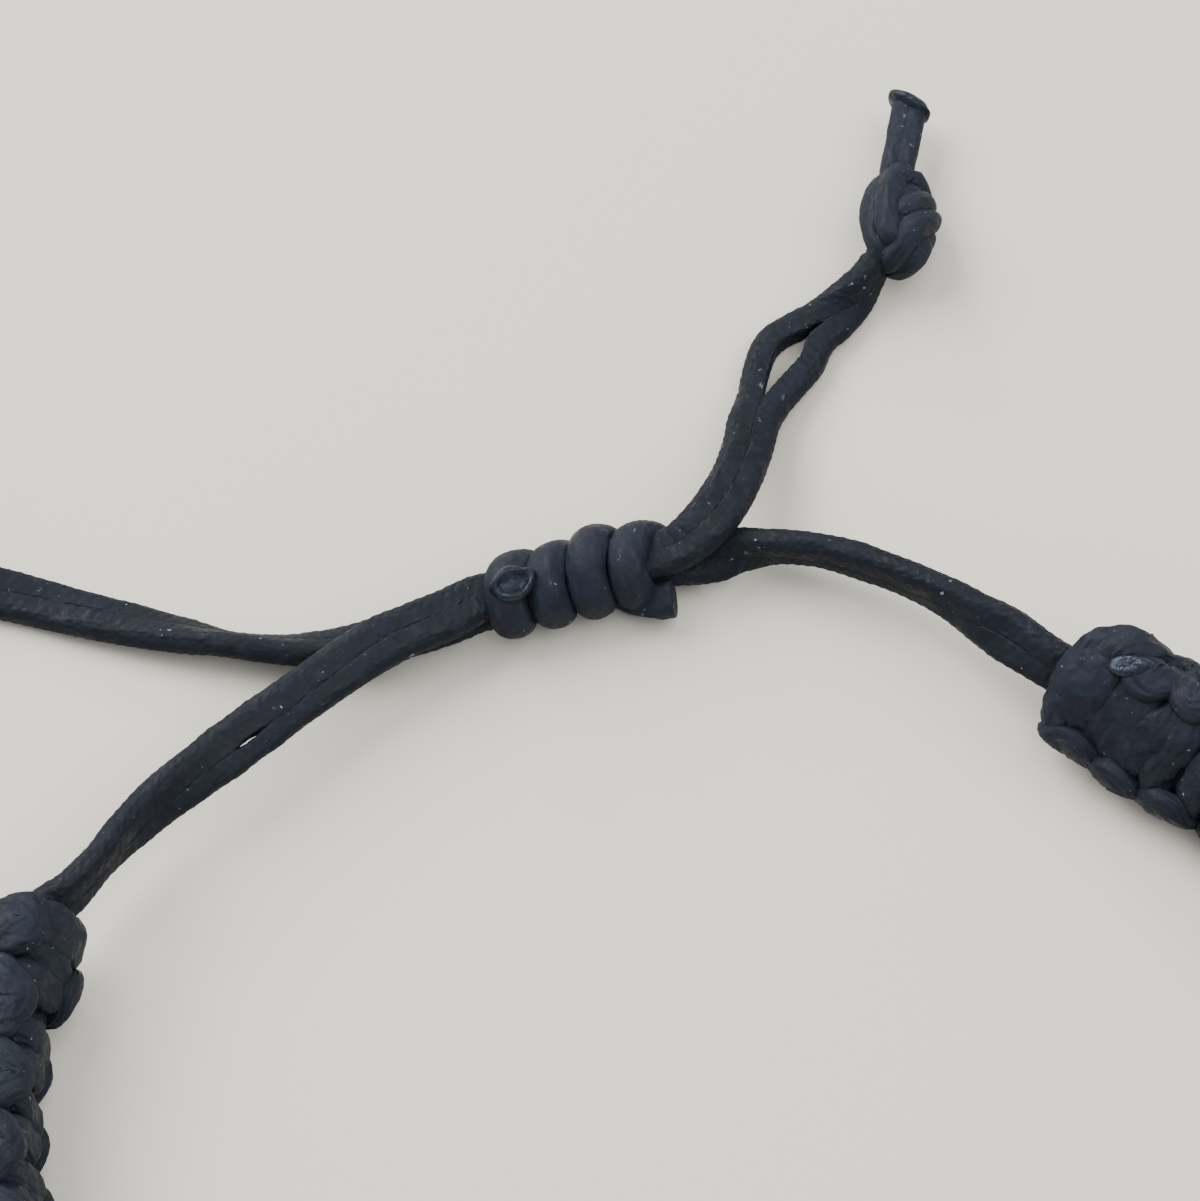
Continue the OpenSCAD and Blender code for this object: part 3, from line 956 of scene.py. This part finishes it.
studio = {
    "floorColour": (0.597, 0.566, 0.482, 1),
    "mottleShade": 0.985,
    "mottle": (40, 3),          # scale and detail of a noise
    "floorRoughness": 0.7,
    "floorHalf": 0.6,
    "world": (0.9, 0.92, 1.0, 1),
    "worldStrength": 0.93,
    "aim": (0, 0.02, 0),
    # place, size, watts
    "lights": {
        "windowLight": ((-0.29, 0.22, 0.36), 0.40, 3.8),
        "fillLight": ((0.22, 0.02, 0.44), 0.6, 2.5),
        "glintLight": ((-0.18, 0.46, 0.20), 0.12, 0.9),
    },
}


def makeFloor():
    bench = NodeBench("paleTable")
    place = bench.add("TexCoord")
    mottle = bench.noise(place.outputs["Object"], *studio["mottle"])
    colour = studio["floorColour"]
    mottled = bench.mixColour(mottle, colour, shaded(colour, studio["mottleShade"]))
    bench.link(mottled, bench.shader.inputs["Base Color"])
    bench.shader.inputs["Roughness"].default_value = studio["floorRoughness"]
    shape = bmesh.new()
    bmesh.ops.create_grid(shape, x_segments=8, y_segments=8, size=studio["floorHalf"])
    mesh = bpy.data.meshes.new("table")
    shape.to_mesh(mesh)
    shape.free()
    mesh.materials.append(bench.material)
    floor = bpy.data.objects.new("table", mesh)
    bpy.context.scene.collection.objects.link(floor)


def makeLight():
    world = bpy.data.worlds.new("softRoom")
    world.use_nodes = True
    background = world.node_tree.nodes["Background"]
    background.inputs["Color"].default_value = studio["world"]
    background.inputs["Strength"].default_value = studio["worldStrength"]
    bpy.context.scene.world = world
    aim = Vector(studio["aim"])
    for name, (place, size, power) in studio["lights"].items():
        data = bpy.data.lights.new(name, "AREA")
        data.shape = "DISK"
        data.size = size
        data.energy = power
        light = bpy.data.objects.new(name, data)
        bpy.context.scene.collection.objects.link(light)
        light.location = place
        light.rotation_euler = (Vector(place) - aim).to_track_quat("Z", "Y").to_euler()
    print("studio lit")


makeCamera()

closureWax = waxedCordMaterial("waxedClosureCord", cordLook)
knotWax = waxedCordMaterial("waxedKnotCord", cordLook)
bandWax = waxedCordMaterial("waxedBandCord", cordLook)
meltedTip = meltedMaterial("meltedCord", meltLook)
meltedButton = meltedMaterial("meltedButton", meltLook)
meltedLump = meltedMaterial("meltedBand", meltLook)

leftOuter = makeClosureCord("closure_left_outer", "left", 1, closureWax)
leftInner = makeClosureCord("closure_left_inner", "left", -1, closureWax)
rightOuter = makeClosureCord("closure_right_outer", "right", 1, closureWax)
rightInner = makeClosureCord("closure_right_inner", "right", -1, closureWax)

rightEnd = makeEndKnot("end_knot_right", *endKnot["right"], knotWax, meltedTip)
leftEnd = makeEndKnot("end_knot_left", *endKnot["left"], knotWax, meltedTip)
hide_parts("right_end_knot")
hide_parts("left_end_knot")

# the left pair of cords ends in the right end knot, and the right pair in the left one
declareCord(*leftOuter, "left_cord_outer", rightEnd)
declareCord(*leftInner, "left_cord_inner", rightEnd)
declareCord(*rightOuter, "right_cord_outer", leftEnd)
declareCord(*rightInner, "right_cord_inner", leftEnd)

makeSlidingKnot(knotWax, meltedButton)

frames = bandFrames()
frontStrand = makeBandStrand("band_strand_front", frames, 1, bandWax)
makeBandStrand("band_strand_back", frames, -1, bandWax)
makeBandCore("band_core_upper", frames, 1, bandWax)
makeBandCore("band_core_lower", frames, -1, bandWax)
for name in bandCap["laps"]:
    makeBandCap(name, frames, bandWax)
makeBandMelt("band_melt_right", frames, meltedLump)
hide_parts("band")
print("band knotted")

makeFloor()
makeLight()
